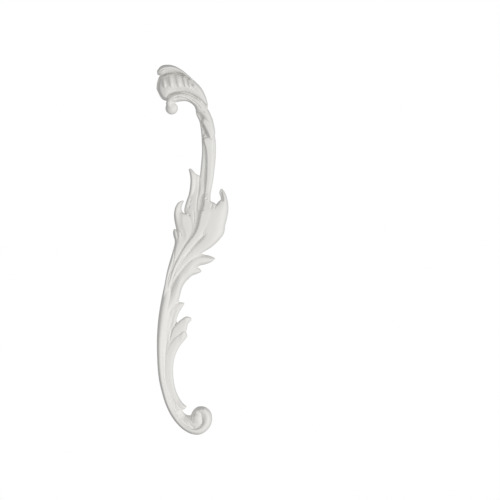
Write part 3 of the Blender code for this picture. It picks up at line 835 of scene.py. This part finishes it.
def carve_line(places, side, half_width, depth, points):
    """Sinks a groove, or cuts down one side only, along a smooth line that fades at both ends."""
    line = smooth_rows(points, LINE_STEPS) * THOUSANDTH
    low = line.min(axis=0) - half_width
    high = line.max(axis=0) + half_width
    flat = places[:, [0, 2]]
    near = np.where(np.all((flat > low) & (flat < high), axis=1))[0]
    spot = flat[near]
    best = np.full(len(near), np.inf)
    along = np.zeros(len(near))
    left = np.zeros(len(near))
    count = len(line) - 1
    for index in range(count):
        start = line[index]
        run = line[index + 1] - start
        away = spot - start
        part = np.clip((away @ run) / (run @ run), 0.0, 1.0)
        distance = np.linalg.norm(away - part[:, None] * run, axis=1)
        closer = distance < best
        best = np.where(closer, distance, best)
        along = np.where(closer, (index + part) / count, along)
        turn = np.sign(run[0] * away[:, 1] - run[1] * away[:, 0])
        left = np.where(closer, turn * distance, left)
    if side:
        step = np.clip(0.5 + side * left / STEP_WIDTH, 0.0, 1.0)
        shape = step * np.clip(1.0 - best / half_width, 0.0, 1.0) ** CUT_POWER
    else:
        shape = np.clip(1.0 - (best / half_width) ** 2, 0.0, 1.0) ** GROOVE_POWER
    length = np.linalg.norm(np.diff(line, axis=0), axis=1).sum()
    run_in = max(LEAST_FADE, min(MOST_FADE, FADE_HALF_WIDTHS * half_width / length))
    fade = np.clip(np.minimum(along, 1.0 - along) / run_in, 0.0, 1.0) ** FADE_POWER
    # Nothing is cut deeper than the outer edge stands, so the walls of the outline stay whole
    past_edge = places[near, 1] + EDGE_DEPTH
    deepest = np.maximum(places[near, 1], KEPT_APART * past_edge - EDGE_DEPTH)
    places[near, 1] = np.minimum(places[near, 1] + depth * shape * fade, deepest)


def carve_fine_lines(cast):
    """Cuts the fine grooves and steps of the carving."""
    places = read_places(cast)
    for side, half_width, depth, points in FINE_LINES:
        carve_line(places, side, half_width, depth, points)
    write_places(cast, places)
    ease_corners(cast, "worn_edges", CARVING_ROUNDS)


def cut_back_flat(cast):
    """Cuts the back off along the wall plane and closes it."""
    select_only(cast)
    bpy.ops.object.mode_set(mode="EDIT")
    bpy.ops.mesh.select_all(action="SELECT")
    bpy.ops.mesh.bisect(
        plane_co=(0.0, 0.0, 0.0), plane_no=(0.0, 1.0, 0.0), use_fill=True, clear_outer=True,
        threshold=TOLERANCE,
    )
    bpy.ops.mesh.select_all(action="SELECT")
    bpy.ops.mesh.quads_convert_to_tris()
    bpy.ops.object.mode_set(mode="OBJECT")


def thin_out(cast):
    """Brings the mesh under the number of triangles that a piece may have."""
    count = sum(len(face.vertices) - 2 for face in cast.data.polygons)
    thin = cast.modifiers.new("thin", "DECIMATE")
    thin.ratio = min(1.0, TRIANGLES / count)
    bpy.ops.object.modifier_apply(modifier=thin.name)


def keep_inside_box(cast):
    """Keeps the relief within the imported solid's box."""
    places = read_places(cast)
    places = np.clip(places, np.array(BOX_LOW), np.array(BOX_HIGH))
    write_places(cast, places)


def shade_front_smooth(cast):
    """Shades the whole piece smooth, but for the crisp edge around its flat back."""
    normals = np.empty(len(cast.data.polygons) * 3)
    cast.data.polygons.foreach_get("normal", normals)
    back = normals.reshape(-1, 3)[:, 1] > BACK_FACING
    select_only(cast)
    bpy.ops.object.shade_smooth()
    bpy.ops.object.mode_set(mode="EDIT")
    bpy.ops.mesh.select_mode(type="FACE")
    bpy.ops.mesh.select_all(action="DESELECT")
    bpy.ops.object.mode_set(mode="OBJECT")
    cast.data.polygons.foreach_set("select", back)
    bpy.ops.object.mode_set(mode="EDIT")
    bpy.ops.mesh.region_to_loop()
    bpy.ops.mesh.mark_sharp()
    bpy.ops.object.mode_set(mode="OBJECT")


def moulded_relief():
    """The whole onlay as one cast piece."""
    cast = cast_in_one(relief_forms())
    soften_shell(cast)
    carve_fine_lines(cast)
    cut_back_flat(cast)
    thin_out(cast)
    keep_inside_box(cast)
    shade_front_smooth(cast)
    return cast


def linear(hex_colour):
    """An sRGB hex colour as linear red, green, blue and alpha."""
    parts = [int(hex_colour[index:index + 2], 16) / 255.0 for index in (1, 3, 5)]
    straight = [c / 12.92 if c <= 0.04045 else ((c + 0.055) / 1.055) ** 2.4 for c in parts]
    return (*straight, 1.0)


def add_node(tree, kind, settings=None, inputs=None, links=None):
    """Adds a node with its settings, its input values and its incoming links."""
    node = tree.nodes.new(kind)
    for key, value in (settings or {}).items():
        setattr(node, key, value)
    for key, value in (inputs or {}).items():
        node.inputs[key].default_value = value
    for key, socket in (links or {}).items():
        tree.links.new(socket, node.inputs[key])
    return node


def primed_moulding():
    """Moulded polyurethane with a sprayed white primer: matte, very slightly mottled and pebbled."""
    material = bpy.data.materials.new("primed_polyurethane_moulding")
    material.use_nodes = True
    tree = material.node_tree
    tree.nodes.clear()
    place = add_node(tree, "ShaderNodeTexCoord").outputs["Object"]
    # Sprayed primer lies a little thicker and whiter in places a few centimetres across
    mottle = add_node(
        tree, "ShaderNodeTexNoise", None,
        {"Scale": 1.0 / MOTTLE_SIZE, "Detail": 3.0, "Roughness": 0.55}, {"Vector": place},
    )
    tint = add_node(
        tree, "ShaderNodeMix", {"data_type": "RGBA"}, {"A": linear(PRIMER_DARK), "B": linear(PRIMER_LIGHT)},
        {"Factor": mottle.outputs["Fac"]},
    )
    # Dried spray leaves fine pebbles, drawn about twice their real size so that they show
    pebble = add_node(
        tree, "ShaderNodeTexNoise", None,
        {"Scale": 1.0 / PEBBLE_SIZE, "Detail": 2.0, "Roughness": 0.5}, {"Vector": place},
    )
    # The cast skin under it waves very slightly
    skin = add_node(
        tree, "ShaderNodeTexNoise", None,
        {"Scale": 1.0 / SKIN_WAVE, "Detail": 2.0, "Roughness": 0.5}, {"Vector": place},
    )
    skin_bump = add_node(
        tree, "ShaderNodeBump", None, {"Strength": 0.12, "Distance": SKIN_WAVE_HEIGHT},
        {"Height": skin.outputs["Fac"]},
    )
    bump = add_node(
        tree, "ShaderNodeBump", None, {"Strength": 0.10, "Distance": PEBBLE_HEIGHT},
        {"Height": pebble.outputs["Fac"], "Normal": skin_bump.outputs["Normal"]},
    )
    sheen = add_node(
        tree, "ShaderNodeMapRange", None, {"To Min": LEAST_ROUGHNESS, "To Max": MOST_ROUGHNESS},
        {"Value": mottle.outputs["Fac"]},
    )
    shader = add_node(
        tree, "ShaderNodeBsdfPrincipled", None, {"Metallic": 0.0, "IOR": 1.48},
        {
            "Base Color": tint.outputs["Result"],
            "Roughness": sheen.outputs["Result"],
            "Normal": bump.outputs["Normal"],
        },
    )
    add_node(tree, "ShaderNodeOutputMaterial", None, None, {"Surface": shader.outputs["BSDF"]})
    return material


def studio_floor():
    """A small round pale floor well under the onlay."""
    bpy.ops.object.select_all(action="DESELECT")
    bpy.ops.mesh.primitive_cylinder_add(
        vertices=FLOOR_SEGMENTS, radius=FLOOR_RADIUS, depth=FLOOR_THICKNESS,
        location=(0.0, 0.0, FLOOR_LEVEL),
    )
    floor = bpy.context.object
    floor.name = "studio_floor"
    bpy.ops.object.transform_apply(location=True, rotation=True, scale=True)
    material = bpy.data.materials.new("pale_studio_floor")
    material.use_nodes = True
    shader = material.node_tree.nodes["Principled BSDF"]
    shader.inputs["Base Color"].default_value = linear(FLOOR_COLOUR)
    shader.inputs["Roughness"].default_value = FLOOR_ROUGHNESS
    floor.data.materials.append(material)


def soft_light(name, place, size, watts):
    """A square soft light that looks at the onlay's middle."""
    data = bpy.data.lights.new(name, "AREA")
    data.shape = "SQUARE"
    data.size = size
    data.energy = watts
    lamp = bpy.data.objects.new(name, data)
    bpy.context.scene.collection.objects.link(lamp)
    lamp.location = place
    lamp.rotation_euler = (-lamp.location).to_track_quat("-Z", "Y").to_euler()


def white_room():
    """A white surround that the camera sees as plain white and the onlay as a soft fill."""
    world = bpy.data.worlds.new("white_room")
    bpy.context.scene.world = world
    world.use_nodes = True
    tree = world.node_tree
    tree.nodes.clear()
    ray = add_node(tree, "ShaderNodeLightPath").outputs["Is Camera Ray"]
    strength = add_node(
        tree, "ShaderNodeMapRange", None, {"To Min": FILL_STRENGTH, "To Max": 1.0}, {"Value": ray},
    )
    background = add_node(
        tree, "ShaderNodeBackground", None, {"Color": (1.0, 1.0, 1.0, 1.0)},
        {"Strength": strength.outputs["Result"]},
    )
    add_node(tree, "ShaderNodeOutputWorld", None, None, {"Surface": background.outputs["Background"]})


def photo_camera():
    """A long lens square to the front, with the onlay where the picture has it."""
    metres_per_pixel = 1000.0 * THOUSANDTH / PICTURE_HEIGHT_PX
    frame_width = PICTURE_SIZE_PX * metres_per_pixel
    data = bpy.data.cameras.new("camera")
    data.sensor_width = SENSOR_WIDTH_MM
    data.lens = data.sensor_width * CAMERA_DISTANCE / frame_width
    camera = bpy.data.objects.new("camera", data)
    bpy.context.scene.collection.objects.link(camera)
    middle = PICTURE_SIZE_PX / 2.0
    x = (middle - ORIGIN_PX[0]) * metres_per_pixel
    z = (ORIGIN_PX[1] - middle) * metres_per_pixel
    camera.location = (x, -CAMERA_DISTANCE - 0.5 * RELIEF, z)
    camera.rotation_euler = (math.pi / 2.0, 0.0, 0.0)
    bpy.context.scene.camera = camera


def main():
    relief = moulded_relief()
    relief.data.materials.clear()
    relief.data.materials.append(primed_moulding())
    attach(relief, "root")
    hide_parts("scroll_onlay")
    studio_floor()
    white_room()
    soft_light("key", KEY_PLACE, KEY_SIZE, KEY_WATTS)
    soft_light("side_fill", SIDE_PLACE, SIDE_SIZE, SIDE_WATTS)
    photo_camera()
    bpy.context.scene.view_settings.view_transform = "Standard"


main()
